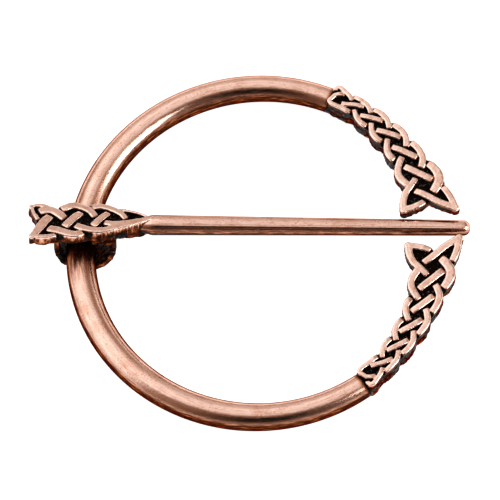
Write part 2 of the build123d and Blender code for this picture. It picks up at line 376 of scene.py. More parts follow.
def outward(obj):
    """Closes a shell's seams and turns its faces outwards."""
    edit(obj)
    bpy.ops.mesh.select_all(action="SELECT")
    bpy.ops.mesh.remove_doubles(threshold=MERGE_DISTANCE)
    bpy.ops.mesh.normals_make_consistent(inside=False)
    bpy.ops.object.mode_set(mode="OBJECT")


def ready_to_sweep(name, scale=(1, 1, 1)):
    """Names the flat shape just added, and selects all of it in edit mode."""
    obj = new_piece(name)
    obj.scale = scale
    bpy.ops.object.transform_apply(location=True, rotation=True, scale=True)
    edit(obj)
    bpy.ops.mesh.select_all(action="SELECT")
    return obj


def round_section(name, radius, location, rotation):
    """A filled round section that is ready to be swept."""
    deselect()
    bpy.ops.mesh.primitive_circle_add(
        vertices=ROUND_SIDES, radius=radius, fill_type="NGON", location=location, rotation=rotation)
    return ready_to_sweep(name)


def extrude(way):
    """Extrudes what is selected."""
    bpy.ops.mesh.extrude_region_move(TRANSFORM_OT_translate={"value": way})


def apply_modifier(obj, kind, **settings):
    make_active(obj)
    modifier = obj.modifiers.new(kind.title(), kind)
    for key, value in settings.items():
        setattr(modifier, key, value)
    bpy.ops.object.modifier_apply(modifier=modifier.name)


def join(pieces):
    """Makes one object of several, under the first one's name."""
    make_active(pieces[0])
    for piece in pieces[1:]:
        piece.select_set(True)
    bpy.ops.object.join()
    return pieces[0]


def cast(obj, top):
    """Melts overlapping shells into one casting, with its skin and its wear; top is its plait's height."""
    apply_modifier(obj, "REMESH", mode="VOXEL", voxel_size=CAST_GRAIN, use_smooth_shade=True)
    apply_modifier(obj, "SMOOTH", factor=0.5, iterations=CAST_SMOOTHING)
    triangles = 2 * len(obj.data.polygons)
    if triangles > CAST_TRIANGLES:
        apply_modifier(obj, "DECIMATE", ratio=CAST_TRIANGLES / triangles)
    roughen(obj.data, top)
    recess_attribute(obj.data, top)
    wear_attribute(obj.data)


def settle(obj, place):
    """Makes a piece small and puts its place into its mesh.  What would sink into the floor is worn flat."""
    obj.data.transform(Matrix.Scale(MILLIMETRE, 4) @ place)
    for vertex in obj.data.vertices:
        vertex.co.z = max(vertex.co.z, 0.0)
    obj.data.update()
    make_active(obj)
    bpy.ops.object.shade_smooth()


def hand_over(obj, body, material, replaces=None):
    """Gives a finished piece its material and its body in the frame."""
    obj.data.materials.clear()
    obj.data.materials.append(material)
    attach(obj, body)
    if replaces:
        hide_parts(replaces)


# Attributes that the finish reads

def write_attribute(mesh, name, values):
    values = np.asarray(values, dtype=np.float32)
    kind = "FLOAT_VECTOR" if values.ndim == 2 else "FLOAT"
    attribute = mesh.attributes.new(name=name, type=kind, domain="POINT")
    attribute.data.foreach_set("vector" if values.ndim == 2 else "value", values.ravel())


def per_vertex(mesh, what):
    """A mesh's points or normals, a row each."""
    values = np.empty(len(mesh.vertices) * 3)
    mesh.vertices.foreach_get(what, values)
    return values.reshape(-1, 3)


def spread(mesh, values, rounds):
    """Averages a value over a mesh's edges."""
    edges = np.empty(len(mesh.edges) * 2, dtype=np.int64)
    mesh.edges.foreach_get("vertices", edges)
    a, b = edges.reshape(-1, 2).T
    count = np.bincount(a, minlength=len(values)) + np.bincount(b, minlength=len(values)) + 1.0
    for _ in range(rounds):
        total = values + np.bincount(a, values[b], len(values)) + np.bincount(b, values[a], len(values))
        values = total / count
    return values


def wear_attribute(mesh):
    """Marks sharp outer edges with a high wear and hollows with a low one."""
    rounds = 4
    co = per_vertex(mesh, "co")
    soft = np.stack([spread(mesh, co[:, i], rounds) for i in range(3)], axis=1)
    bulge = ((co - soft) * per_vertex(mesh, "normal")).sum(axis=1)
    size = np.percentile(np.abs(bulge), 95) + 1e-9
    write_attribute(mesh, "wear", np.clip(FLAT_WEAR + (1 - FLAT_WEAR) * bulge / size, 0, 1))


def shifted(grid, reach, pick):
    """Runs a square filter over a grid, one axis after the other."""
    for axis in (0, 1):
        grid = pick([np.roll(grid, shift, axis) for shift in range(-reach, reach + 1)], axis=0)
    return grid


def recess_attribute(mesh, top):
    """Marks the hollows between strands for their patina, and what lies well under the tops with side, for
    painted shade and tarnish.
    """
    # Millimetres, but the reaches count cells, and enclosed is the filled part of the cells around.
    cell = 0.16
    margin = 2.0
    empty = -100.0
    depth_of_plait = 1.2
    hollow = (0.12, 0.47)
    under_top = (0.2, 0.7)
    rim_reach = 5
    fill_reach = 6
    enclosed = (0.6, 0.76)
    co = per_vertex(mesh, "co")
    low = co[:, :2].min(axis=0) - margin
    i, j = ((co[:, :2] - low) / cell).astype(int).T
    around = int(margin / cell)
    heights = np.full((i.max() + around, j.max() + around), empty)
    np.maximum.at(heights, (i, j), co[:, 2])
    heights = np.where(heights == empty, shifted(heights, 1, np.max), heights)
    filled = (heights > top - depth_of_plait).astype(float)
    rim = shifted(heights, rim_reach, np.max)[i, j]
    inside = shifted(filled, fill_reach, np.mean)[i, j]
    patina_and_shade = ramp(rim - co[:, 2], *hollow) * ramp(inside, *enclosed) * (co[:, 2] > top - depth_of_plait)
    write_attribute(mesh, "patina_and_shade", spread(mesh, patina_and_shade, 1))
    # Painted shade: side grows with the depth under the plait's top, and the finish darkens the sides by it.
    write_attribute(mesh, "side", ramp(top - co[:, 2], *under_top))


def swept_attributes(mesh, along, around, radius, patina_and_shade, side):
    """Writes a swept piece's attributes.  Streaks run along it, and round it on a given radius."""
    way = np.stack([along, np.cos(around) * radius, np.sin(around) * radius], axis=1)
    write_attribute(mesh, "sweep", way)
    write_attribute(mesh, "patina_and_shade", patina_and_shade)
    write_attribute(mesh, "side", side)
    write_attribute(mesh, "wear", np.full(len(along), FLAT_WEAR))


def roughen(mesh, top):
    """Gives a casting its slightly uneven skin, lumpier on its sides than on its worn top."""
    for vertex, normal in zip(mesh.vertices, [n.vector.copy() for n in mesh.vertex_normals]):
        amount = TOP_LUMPS + SIDE_LUMPS * smoothstep(top - vertex.co.z, 0.5, 1.0)
        lumps = noise.noise(vertex.co * 1.2) + 0.6 * noise.noise(vertex.co * 3.0)
        vertex.co += normal * amount * lumps


# Plaits

def steps(first, last, count):
    return [first + (last - first) * i / count for i in range(count + 1)]


def smooth(points):
    """A smooth run through a few points."""
    ends = [points[0]] + points + [points[-1]]
    run = [points[0]]
    for a, b, c, d in zip(ends, ends[1:], ends[2:], ends[3:]):
        for u in steps(0, 1, STRAND_STEPS)[1:-1]:
            run.append(tuple(
                0.5 * (2 * q + (r - p) * u + (2 * p - 5 * q + 4 * r - v) * u ** 2
                       + (3 * q - p - 3 * r + v) * u ** 3)
                for p, q, r, v in zip(a, b, c, d)))
        run.append(c)
    return run


def crossing(kind, k):
    return (round(kind[0] + k, 4), kind[1])


def strip(k):
    """A strand that crosses the middle in row k, from the inner edge to the outer one."""
    return [crossing(INNER_CROSSING, k - 1), (k - 0.32, -0.5), (k - 0.05, -0.14),
            crossing(MIDDLE_CROSSING, k), (k + 0.4, 0.45), crossing(OUTER_CROSSING, k)]


def outer_turn(k):
    """A strand that turns at the outer edge and comes back to the middle."""
    return [crossing(OUTER_CROSSING, k), (k + 1.03, 1.1), (k + 1.33, 1.18), (k + 1.58, 1.09),
            crossing(OUTER_CROSSING, k + 1), (k + 1.95, 0.52), crossing(MIDDLE_CROSSING, k + 2)]


def inner_turn(k):
    """A strand that leaves the middle and turns at the inner edge."""
    return [crossing(MIDDLE_CROSSING, k), (k + 0.26, -0.38), crossing(INNER_CROSSING, k), (k + 0.65, -1.12),
            (k + 0.95, -1.16), crossing(INNER_CROSSING, k + 1)]


def terminal_strands():
    """The plait's strands as (points, width factor), its tips and its outline."""
    last = TERMINAL_ROWS
    far = (last + 0.72, 1.13)
    near = (last + 0.42, -1.18)
    loop = (0.24, 1.27)
    turn = (0.04, -1.0)
    below = (last - 0.44, -0.74)
    middle = crossing(MIDDLE_CROSSING, last)
    first_middle = crossing(MIDDLE_CROSSING, 1)
    strands = [(strip(k), 1.0) for k in range(2, last)]
    strands += [(outer_turn(k), 1.0 if k < last - 2 else 1.3) for k in range(last - 1)]
    strands += [(inner_turn(k), 1.0) for k in range(1, last - 1)]
    to_far = [crossing(OUTER_CROSSING, last - 1), (last + 0.02, 1.03), (last + 0.38, 1.12), far]
    long_strip = [below, (last - 0.2, -0.4), (last - 0.02, -0.12), middle, (last + 0.42, 0.5),
                  (last + 0.6, 0.85), far]
    to_near = [crossing(MIDDLE_CROSSING, last - 1), (last - 0.66, -0.3), below, (last - 0.28, -1.0),
               (last - 0.02, -1.17), (last + 0.22, -1.2), near]
    bottom = [near, (last + 0.41, -0.84), (last + 0.36, -0.48), (last + 0.28, -0.2), middle]
    loop_over = [(0.2, 0.1), (0.09, 0.6), (0.1, 1.05), loop, (0.45, 1.13), OUTER_CROSSING, (0.98, 0.5),
                 first_middle]
    loop_under = [turn, (0.12, -0.4), (0.2, 0.1), (0.45, 0.62), OUTER_CROSSING]
    narrow_turn = [turn, (0.22, -1.2), (0.55, -1.15), (0.95, -1.08), crossing(INNER_CROSSING, 1)]
    narrow_strip = [(0.62, -0.62), (0.9, -0.3), first_middle, (1.4, 0.45), crossing(OUTER_CROSSING, 1)]
    strands += [(to_far, 0.86), (long_strip, 0.88), (to_near, 0.88), (bottom, 0.8), (loop_over, 1.0),
                (loop_under, 1.0), (narrow_turn, 1.0), (narrow_strip, 1.0)]
    outline = loop_under[:3] + loop_over[1:5]
    for k in range(last - 1):
        outline += outer_turn(k)[:4]
    outline += to_far + long_strip[:2:-1] + bottom[-2:0:-1] + to_near[:1:-1]
    for k in range(last - 2, 0, -1):
        outline += inner_turn(k)[:1:-1]
    return strands, [far, near, loop, turn], outline + narrow_turn[-2:0:-1]


class Plait:
    """Turns paths of (along, across) points into raised strands on a ground."""

    def __init__(self, place, width, top, foot, relief):
        self.place = place
        self.width = width
        self.top = top
        self.foot = foot
        self.relief = relief
        self.verts = []
        self.faces = []

    def tube(self, rings):
        """Adds a closed shell from rings of points."""
        count = len(rings[0])
        start = len(self.verts)
        for ring in rings:
            self.verts += ring
        for i in range(len(rings) - 1):
            for j in range(count):
                a = start + i * count + j
                b = start + i * count + (j + 1) % count
                self.faces.append((a, b, b + count, a + count))
        self.faces.append([start + j for j in range(count)][::-1])
        self.faces.append([start + (len(rings) - 1) * count + j for j in range(count)])

    def strand(self, path, others, factor):
        """Adds a strand.  It dips where it ends inside another.  A factor over 1 widens its middle most."""
        line = [self.place(s, t) for s, t in path]
        run = [0.0]
        for a, b in zip(line, line[1:]):
            run.append(run[-1] + math.dist(a, b))
        sunk = [0.0] * len(line)
        arched = [0.0] * len(line)
        for end, distances in ((0, run), (-1, [run[-1] - part for part in run])):
            if any(point == path[end] for other in others for point in other[1:-1]):
                edge = self.width(path[end][0]) / 2 + DIP_ROOM
                for i, distance in enumerate(distances):
                    sunk[i] = max(sunk[i], smoothstep(distance, edge + DIP_LENGTH, edge))
                    arched[i] = max(arched[i], smoothstep(distance, edge + ARCH_LENGTH, edge))
        section = [(-u, drop) for u, drop in STRAND_SIDE[:0:-1]] + STRAND_SIDE + [(1, None), (-1, None)]
        rings = []
        for i, (x, y) in enumerate(line):
            before = line[max(i - 1, 0)]
            after = line[min(i + 1, len(line) - 1)]
            dx, dy = after[0] - before[0], after[1] - before[1]
            size = math.hypot(dx, dy)
            bulge = math.sin(math.pi * i / (len(line) - 1))
            half = self.width(path[i][0]) / 2 * (1 + (factor - 1) * bulge if factor > 1 else factor)
            top = self.top - DIP * sunk[i] - ARCH * arched[i]
            ring = []
            for u, drop in section:
                px, py = x - dy / size * half * u, y + dx / size * half * u
                ring.append((px, py, self.foot(px, py) if drop is None else top - drop * half))
            rings.append(ring)
        self.tube(rings)

    def tip(self, s, t):
        """Adds a round end where two strands meet in a point."""
        x, y = self.place(s, t)
        half = self.width(s) / 2
        rings = []
        for u, drop in [(1, None)] + STRAND_SIDE[:0:-1]:
            ring = []
            for j in range(TIP_SIDES):
                angle = 2 * math.pi * j / TIP_SIDES
                px, py = x + half * u * math.cos(angle), y + half * u * math.sin(angle)
                ring.append((px, py, self.foot(px, py) if drop is None else self.top - drop * half))
            rings.append(ring)
        self.tube(rings)

    def ground(self, outline):
        """Adds the ground that shows between the strands."""
        corners = [self.place(s, t) for s, t in outline]
        self.tube([[(x, y, self.foot(x, y)) for x, y in corners],
                   [(x, y, self.top - self.relief) for x, y in corners]])

    def build(self, name, strands, tips, outline):
        paths = [smooth(points) for points, _ in strands]
        for path, (_, factor) in zip(paths, strands):
            self.strand(path, [p for p in paths if p is not path], factor)
        for s, t in tips:
            self.tip(s, t)
        self.ground(outline)
        obj = piece_from(name, self.verts, self.faces)
        outward(obj)
        return obj


# Pieces

def terminal_start(ring, size):
    """Angle from the gap at which the plait begins, in radians."""
    plait = size.row * TERMINAL_ROWS + size.row_growth * TERMINAL_ROWS ** 2 / 2
    return (size.gap_half_arc + plait) / ring.ring_radius


def make_terminal(name, ring, size):
    """The upper terminal in the ring's plane."""
    start_angle = terminal_start(ring, size)
    rows, halves, shifts = zip(*TERMINAL_WIDTHS)

    def width(s):
        return size.strand + size.strand_growth * max(s, 0)

    def place(s, t):
        along = size.row * s + size.row_growth * s ** 2 / 2
        angle = start_angle - along / ring.ring_radius
        radius = ring.ring_radius + np.interp(s, rows, shifts) + t * np.interp(s, rows, halves)
        return radius * math.cos(angle), radius * math.sin(angle)

    start = Vector(place(0, 0))
    chord = Vector(place(TERMINAL_ROWS, 0)) - start

    def foot(x, y):
        along = (Vector((x, y)) - start).dot(chord) / chord.length_squared
        return TERMINAL_BACK_NEAR + (TERMINAL_BACK_FAR - TERMINAL_BACK_NEAR) * along

    obj = Plait(place, width, size.top, foot, size.relief).build(name, *terminal_strands())
    cast(obj, size.top)
    return obj


def round_arc(name, ring, start, sweep, radius, count):
    """A round bar bent along the ring; start and sweep in radians."""
    obj = round_section(name, radius, on_ring(ring, start), (math.pi / 2, 0, start))
    bpy.ops.mesh.spin(steps=count, angle=-sweep, center=(0, 0, 0), axis=(0, 0, 1))
    outward(obj)
    return obj


def make_rod(name, ring, terminal):
    """The rod, a little thinner towards its ends, and the necks between it and the terminals."""
    rod_start = terminal_start(ring, terminal) - ring.rod_tuck / ring.ring_radius
    rod = round_arc(name, ring, rod_start, 2 * math.pi - 2 * rod_start, ring.rod_radius, ROD_STEPS)
    for vertex in rod.data.vertices:
        angle = math.atan2(vertex.co.y, vertex.co.x) % (2 * math.pi)
        part = (angle - math.pi) / (math.pi - rod_start)
        scale = 1 - (1 - ring.rod_end_radius / ring.rod_radius) * part ** 2
        middle = on_ring(ring, angle)
        vertex.co = middle + (vertex.co - middle) * scale

    def is_end(middle, normal):
        off = math.hypot(middle.x, middle.y) - ring.ring_radius
        return abs(normal.z) < 0.01 and abs(middle.z) < 0.01 and abs(off) < 0.05

    pick_faces(rod, is_end)
    bpy.ops.mesh.bevel(offset=ROD_END_BEVEL, segments=4, profile=0.5)
    neck_sweep = 2 * ring.neck_length / ring.ring_radius
    starts = [side * rod_start - neck_sweep / 2 for side in (1, -1)]
    necks = [round_arc(name, ring, start, neck_sweep, ring.neck_radius, NECK_STEPS) for start in starts]
    mesh = join([rod] + necks).data
    co = per_vertex(mesh, "co")
    angle = np.arctan2(co[:, 1], -co[:, 0])
    out = np.hypot(co[:, 0], co[:, 1]) - ring.ring_radius
    from_middle = np.hypot(out, co[:, 2])
    from_end = (math.pi - rod_start - np.abs(angle)) * ring.ring_radius
    from_crossing = np.abs(angle + PIN_CROSSING - math.pi) * ring.ring_radius
    steep = np.degrees(np.arccos(np.clip(co[:, 2] / from_middle.clip(0.01), -1, 1)))
    # Painted shade: darker where the rod goes under the plait, near the pin's crossing under the collar, and
    # low on its sides. The necks' blackening is patina.
    end = ramp(from_end, *ROD_END_SHADE)
    patina_and_shade = np.where(from_middle < ring.neck_radius + 0.1, NECK_RECESS, ROD_END_PATINA_AND_SHADE * end * end)
    side = [0.5 * end, ramp(from_crossing, *ROD_CROSSING_SHADE), ramp(steep, *ROD_STEEP_SHADE)]
    around = np.arctan2(co[:, 2], out)
    along = angle * ring.ring_radius
    swept_attributes(mesh, along, around, ROD_STREAK_RADIUS, patina_and_shade, np.max(side, axis=0))
    return rod


def head_back(ring, size):
    """Height of the head's back over the rod's middle."""
    return ring.rod_radius / math.cos(PIN_ROLL) + size.half_width * ROLL_RISE + size.head_clearance


def make_collar(name, ring, size):
    """The strip that goes down from the head, round under the rod and up again, with its end tucked in."""
    back = head_back(ring, size)
    room = size.collar_half_bore - ring.rod_radius / math.cos(PIN_ROLL) - size.collar_clearance
    middle = math.sqrt(room ** 2 - size.collar_offset ** 2) - size.collar_width / 2 * ROLL_RISE
    top = back + size.collar_wall
    left = size.collar_offset - size.collar_half_bore - size.collar_wall / 2
    blade = back - size.blade_gap - size.collar_wall
    deselect()
    bpy.ops.mesh.primitive_plane_add(size=1, location=(left, 0, top))
    obj = ready_to_sweep(name, (size.collar_wall, size.collar_width, 1))
    extrude((0, 0, middle - top))
    bpy.ops.mesh.spin(
        steps=COLLAR_STEPS, angle=math.pi, center=(size.collar_offset, 0, middle), axis=(0, 1, 0))
    extrude((0, 0, blade - middle))
    extrude((0, 0, size.collar_wall))
    outward(obj)

    def is_end_side(centre, normal):
        return normal.x < -0.9 and centre.x > size.collar_offset and centre.z > blade + 0.1

    pick_faces(obj, is_end_side)
    extrude((-size.blade_reach, 0, 0))
    outward(obj)
    level = Vector((0, math.cos(PIN_ROLL), -math.sin(PIN_ROLL)))
    for vertex in obj.data.vertices:
        depth = back - vertex.co.z
        if vertex.co.y > size.collar_width / 2 - 0.01:
            vertex.co += smoothstep(depth, *FLARE_DEPTHS) * size.collar_flare * level
        elif vertex.co.y < 0.01 - size.collar_width / 2 and vertex.co.x > size.collar_offset:
            vertex.co.y -= size.blade_front * smoothstep(depth, *BLADE_DEPTHS)
    apply_modifier(
        obj, "BEVEL", width=COLLAR_BEVEL, segments=3, limit_method="ANGLE", angle_limit=math.radians(50))
    return obj


def paint_bore_shade(mesh, back, size):
    """Darkens the inside of the collar with painted shade."""
    co = per_vertex(mesh, "co")
    normals = per_vertex(mesh, "normal")
    inward = -normals[:, 0] * np.sign(co[:, 0] - size.collar_offset)
    inward = np.maximum(inward, normals[:, 2]) * (co[:, 2] < back + 0.05)
    patina_and_shade = np.empty(len(mesh.vertices))
    mesh.attributes["patina_and_shade"].data.foreach_get("value", patina_and_shade)
    values = np.maximum(patina_and_shade, BORE_SHADE * ramp(inward, 0.3, 0.7))
    mesh.attributes["patina_and_shade"].data.foreach_set("value", values.astype(np.float32))


def make_head(name, ring, size):
    """The plaited head and its collar, as one casting."""
    back = head_back(ring, size)
    top = back + size.thickness

    def width(x):
        return size.strand * (1 - HEAD_TAPER * x) * (0.5 + 0.5 * smoothstep(x, *HEAD_TIPS_WIDEN))

    def foot(x, y):
        keel = (size.shank_radius - size.thickness / 4) * smoothstep(x, *HEAD_KEEL)
        return back + HEAD_RIM_RISE * smoothstep(abs(y - HEAD_MIDDLE), *HEAD_RIM) - keel

    plait = Plait(lambda x, y: (x, y), width, top, foot, size.relief)
    strands = [(points, 1.0) for points in HEAD_STRANDS] + [(points, RIM_FACTOR) for points in HEAD_RIMS]
    obj = plait.build(name, strands, [BACK_TIP, FRONT_TIP, HEAD_POINT], HEAD_OUTLINE)
    obj = join([obj, make_collar(name, ring, size)])
    cast(obj, top)
    paint_bore_shade(obj.data, back, size)
    return obj


def taper(start, end, first, last, count):
    """Places along a bar that tapers evenly, and its radii there."""
    return [(x, first + (last - first) * (x - start) / (end - start)) for x in steps(start, end, count)]


def make_shank(name, ring, size):
    """The round shank, from its root under the head to its blunt tip, with the mould's seam along it."""
    height = head_back(ring, size) + size.thickness - size.shank_radius
    shoulder = size.shank_end - size.tip_round
    flat = size.tip_radius - size.tip_round
    stations = taper(size.root_start, size.point, size.root_radius, size.shank_radius, ROOT_STEPS)[1:-1]
    stations += taper(size.point, shoulder, size.shank_radius, size.tip_radius, SHANK_STEPS)
    stations += [(shoulder + size.tip_round * math.sin(a), flat + size.tip_round * math.cos(a))
                 for a in steps(0, math.pi / 2, SHANK_TIP_STEPS)[1:]]
    obj = round_section(name, size.root_radius, (size.root_start, 0, height), (0, math.pi / 2, 0))
    last_x, last_radius = size.root_start, size.root_radius
    for x, radius in stations:
        extrude((x - last_x, 0, 0))
        factor = radius / last_radius
        bpy.ops.transform.resize(value=(1, factor, factor), center_override=(x, 0, height))
        last_x, last_radius = x, radius
    outward(obj)
    for vertex in obj.data.vertices:
        x, y, z = vertex.co
        off_seam = abs(math.atan2(z - height, y) - SEAM_TURN)
        if off_seam < math.pi / ROUND_SIDES and size.point < x <= shoulder:
            vertex.co += size.seam * Vector((0, math.cos(SEAM_TURN), math.sin(SEAM_TURN)))
    co = per_vertex(obj.data, "co")
    around = np.arctan2(co[:, 2] - height, co[:, 1])
    # Painted shade blackens its underside, starting lower and lower towards the tip.
    edge = 0.5 * (1 - co[:, 0] / size.shank_end)
    patina_and_shade = SHANK_UNDERSIDE_SHADE * ramp(np.sin(around + PIN_ROLL), edge, edge - 0.25)
    # Painted shade: side darkens it more towards its underside.
    side = np.clip(0.75 - 0.9 * np.sin(around), 0, 1)
    swept_attributes(obj.data, co[:, 0], around, SHANK_STREAK_RADIUS, patina_and_shade, side)
    return obj


# Finish

class Nodes:
    """Short calls for adding and linking a node tree's nodes."""

    def __init__(self, owner):
        owner.use_nodes = True
        self.tree = owner.node_tree
        self.tree.nodes.clear()

    def add(self, kind, inputs=None, **settings):
        node = self.tree.nodes.new(kind)
        for key, value in settings.items():
            setattr(node, key, value)
        for key, value in (inputs or {}).items():
            self.put(value, node.inputs[key])
        return node

    def put(self, value, socket):
        """Sets a socket to a value or links another socket to it."""
        if isinstance(value, bpy.types.NodeSocket):
            self.tree.links.new(value, socket)
        else:
            socket.default_value = value

    def coordinates(self, kind):
        return self.add("ShaderNodeTexCoord").outputs[kind]

    def attribute(self, name, kind="Fac"):
        return self.add("ShaderNodeAttribute", attribute_name=name, attribute_type="GEOMETRY").outputs[kind]

    def maths(self, operation, a, b=0.0, clamp=False):
        return self.add("ShaderNodeMath", {0: a, 1: b}, operation=operation, use_clamp=clamp).outputs[0]

    def plus(self, a, b):
        return self.maths("ADD", a, b)

    def times(self, a, b):
        return self.maths("MULTIPLY", a, b)

    def larger(self, a, b):
        return self.maths("MAXIMUM", a, b)

    def noise(self, vector, scale, detail, roughness=0.55):
        return self.add("ShaderNodeTexNoise", {
            "Vector": vector, "Scale": scale, "Detail": detail, "Roughness": roughness}).outputs["Fac"]

    def remap(self, value, low, high, first=0.0, last=1.0):
        return self.add("ShaderNodeMapRange", {
            "Value": value, "From Min": low, "From Max": high, "To Min": first, "To Max": last},
            interpolation_type="SMOOTHSTEP").outputs["Result"]

    def blend(self, factor, a, b):
        return self.add("ShaderNodeMix", {0: factor, 6: a, 7: b}, data_type="RGBA").outputs[2]

    def end(self, kind, inputs, output="ShaderNodeOutputMaterial"):
        """Adds the tree's shader and its output."""
        self.put(self.add(kind, inputs).outputs[0], self.add(output).inputs["Surface"])


def antique_copper(name, finish, swept):
    """Worn copper plate over a blackened ground, with painted shade low on the sides. On swept pieces its
    streaks follow their length.
    """
    material = bpy.data.materials.new(name)
    nodes = Nodes(material)
    place = nodes.coordinates("Object")
    patina_and_shade = nodes.attribute("patina_and_shade")
    wear = nodes.attribute("wear")
    side = nodes.attribute("side")
    broad = nodes.noise(place, 260, 3)
    grain = nodes.noise(place, 2600, 4, 0.65)
    fine = nodes.noise(place, 9000, 2, 0.6)
    if swept:
        sweep = nodes.attribute("sweep", "Vector")
        stretched = nodes.add("ShaderNodeMapping", {"Vector": sweep, "Scale": (0.35, 2.6, 2.6)})
        streak = nodes.noise(stretched.outputs["Vector"], 1.6, 5, 0.62)
    else:
        streak = nodes.noise(place, 900, 4, 0.6)

    # Blackening fills the recesses, with a ragged edge: patina, and painted shade in the collar's bore and
    # under the shank. It lies in patches on the sides, more of them lower down as painted shade.
    ragged = nodes.plus(patina_and_shade, nodes.times(nodes.plus(grain, -0.5), 0.3))
    black = nodes.remap(ragged, 0.12, 0.4)
    marks = streak if swept else nodes.noise(place, 600, 4, 0.65)
    stain_and_shade = nodes.plus(marks, nodes.times(side, 0.22))
    brown = nodes.times(nodes.remap(stain_and_shade, 0.46, 0.72), side)
    scale = nodes.times(nodes.remap(stain_and_shade, 0.72, 0.8), side)
    black = nodes.larger(black, nodes.times(scale, 0.35 if swept else 1.0))

    # Copper is deeper in streaks, clouds and pits and next to the blackening, and deeper low on the sides as
    # painted shade.
    deep = nodes.remap(streak, 0.46, 0.78, 0.0, 0.42)
    deep = nodes.maths("ADD", deep, nodes.remap(broad, 0.48, 0.75, 0.0, 0.3), clamp=True)
    deep = nodes.times(deep, nodes.remap(wear, FLAT_WEAR, 0.75, 1.0, 0.15))
    deep = nodes.larger(deep, nodes.remap(patina_and_shade, 0.03, 0.2, 0.0, 0.9))
    pits = nodes.remap(nodes.noise(place, 4200, 2, 0.6), 0.55, 0.65, 0.0, 0.6 if swept else 0.3)
    deep = nodes.larger(deep, nodes.times(pits, nodes.remap(broad, 0.35, 0.6, 0.3, 1.0)))
    deep = nodes.larger(deep, nodes.times(side, 0.95))
    bright = nodes.blend(nodes.remap(wear, FLAT_WEAR, 0.7), finish.copper, finish.worn_copper)
    metal = nodes.blend(brown, nodes.blend(deep, bright, finish.deep_copper_and_shade), finish.tarnish_and_shade)
    # The blackened ground, with grey specks painted in as glints.
    patina_and_glints = nodes.blend(nodes.remap(grain, 0.57, 0.68, 0.0, 0.8), finish.patina, finish.glint_speck)

    # Blackening is dull and isn't metal.
    rough = nodes.plus(nodes.remap(streak, 0.3, 0.7, 0.14, 0.24), nodes.times(fine, 0.05))
    rough = nodes.add("ShaderNodeMix", {0: black, 2: rough, 3: 0.42}, data_type="FLOAT").outputs[0]
    metallic = nodes.remap(black, 0.0, 1.0, 1.0, 0.0)

    height = nodes.plus(nodes.times(nodes.noise(place, 700, 2), 0.9), nodes.times(streak, 0.6))
    height = nodes.plus(height, nodes.times(grain, nodes.remap(black, 0.0, 1.0, 0.35, 2.6)))
    height = nodes.plus(height, nodes.times(fine, 0.05))
    bump = nodes.add("ShaderNodeBump", {"Height": height, "Strength": 0.35, "Distance": 0.00006})

    nodes.end("ShaderNodeBsdfPrincipled", {
        "Base Color": nodes.blend(black, metal, patina_and_glints), "Metallic": metallic, "Roughness": rough,
        "Specular IOR Level": 0.13, "Specular Tint": (0.3, 0.16, 0.1, 1.0), "Normal": bump.outputs["Normal"]})
    return material


def finish_material(swept):
    """The finish of swept or plaited pieces, made once."""
    name = "antique_copper_drawn" if swept else "antique_copper_cast"
    return bpy.data.materials.get(name) or antique_copper(name, bpy.context.scene.cloak_pin_finish, swept)


class ModelRod(bpy.types.Operator):
    """Models the ring's round rod and the necks at its ends"""
    bl_idname = "cloak_pin.rod"
    bl_label = "Ring Rod"

    def execute(self, context):
        rod = make_rod("hoop_rod", sizes("ring"), sizes("terminal"))
        settle(rod, ring_place())
        hand_over(rod, "hoop", finish_material(True), "hoop")
        return {"FINISHED"}


class ModelTerminals(bpy.types.Operator):
    """Models the plaited terminal and its mirrored twin"""
    bl_idname = "cloak_pin.terminals"
    bl_label = "Terminals"

    def execute(self, context):
        upper = make_terminal("terminal_upper", sizes("ring"), sizes("terminal"))
        make_active(upper)
        bpy.ops.object.duplicate()
        lower = new_piece("terminal_lower")
        lower.data.transform(Matrix.Scale(-1, 4, (0, 1, 0)))
        lower.data.flip_normals()
        for terminal in (upper, lower):
            settle(terminal, ring_place())
            hand_over(terminal, "hoop", finish_material(False))
        return {"FINISHED"}


class ModelHead(bpy.types.Operator):
    """Models the pin's plaited head and the collar bent round the rod"""
    bl_idname = "cloak_pin.head"
    bl_label = "Pin Head"

    def execute(self, context):
        head = make_head("pin_head", sizes("ring"), sizes("pin"))
        settle(head, pin_place())
        hand_over(head, "pin", finish_material(False))
        return {"FINISHED"}


class ModelShank(bpy.types.Operator):
    """Models the pin's round tapering shank"""
    bl_idname = "cloak_pin.shank"
    bl_label = "Pin Shank"

    def execute(self, context):
        shank = make_shank("pin_shank", sizes("ring"), sizes("pin"))
        settle(shank, pin_place())
        hand_over(shank, "pin", finish_material(True), "pin")
        return {"FINISHED"}


# Stage

def add_camera():
    """Puts the camera where it looks at the ring from the photograph's angle."""
    elevation, azimuth, roll = (math.radians(a) for a in (CAMERA_ELEVATION, CAMERA_AZIMUTH, CAMERA_ROLL))
    level = math.cos(elevation)
    back = Vector((math.sin(azimuth) * level, -math.cos(azimuth) * level, math.sin(elevation)))
    across = Vector((0, 0, 1)).cross(back).normalized()
    upward = back.cross(across)
    turned = math.cos(roll) * across + math.sin(roll) * upward
    raised = -math.sin(roll) * across + math.cos(roll) * upward
    place = Matrix((turned, raised, back)).transposed().to_4x4()
    place.translation = Vector(CAMERA_TARGET) + back * CAMERA_DISTANCE
    place = ring_place() @ place
    place.translation *= MILLIMETRE
    data = bpy.data.cameras.new("camera")
    data.lens = CAMERA_LENS
    data.clip_start = 0.01
    data.clip_end = 20
    camera = add_object("camera", data)
    camera.matrix_world = place
    bpy.context.scene.camera = camera


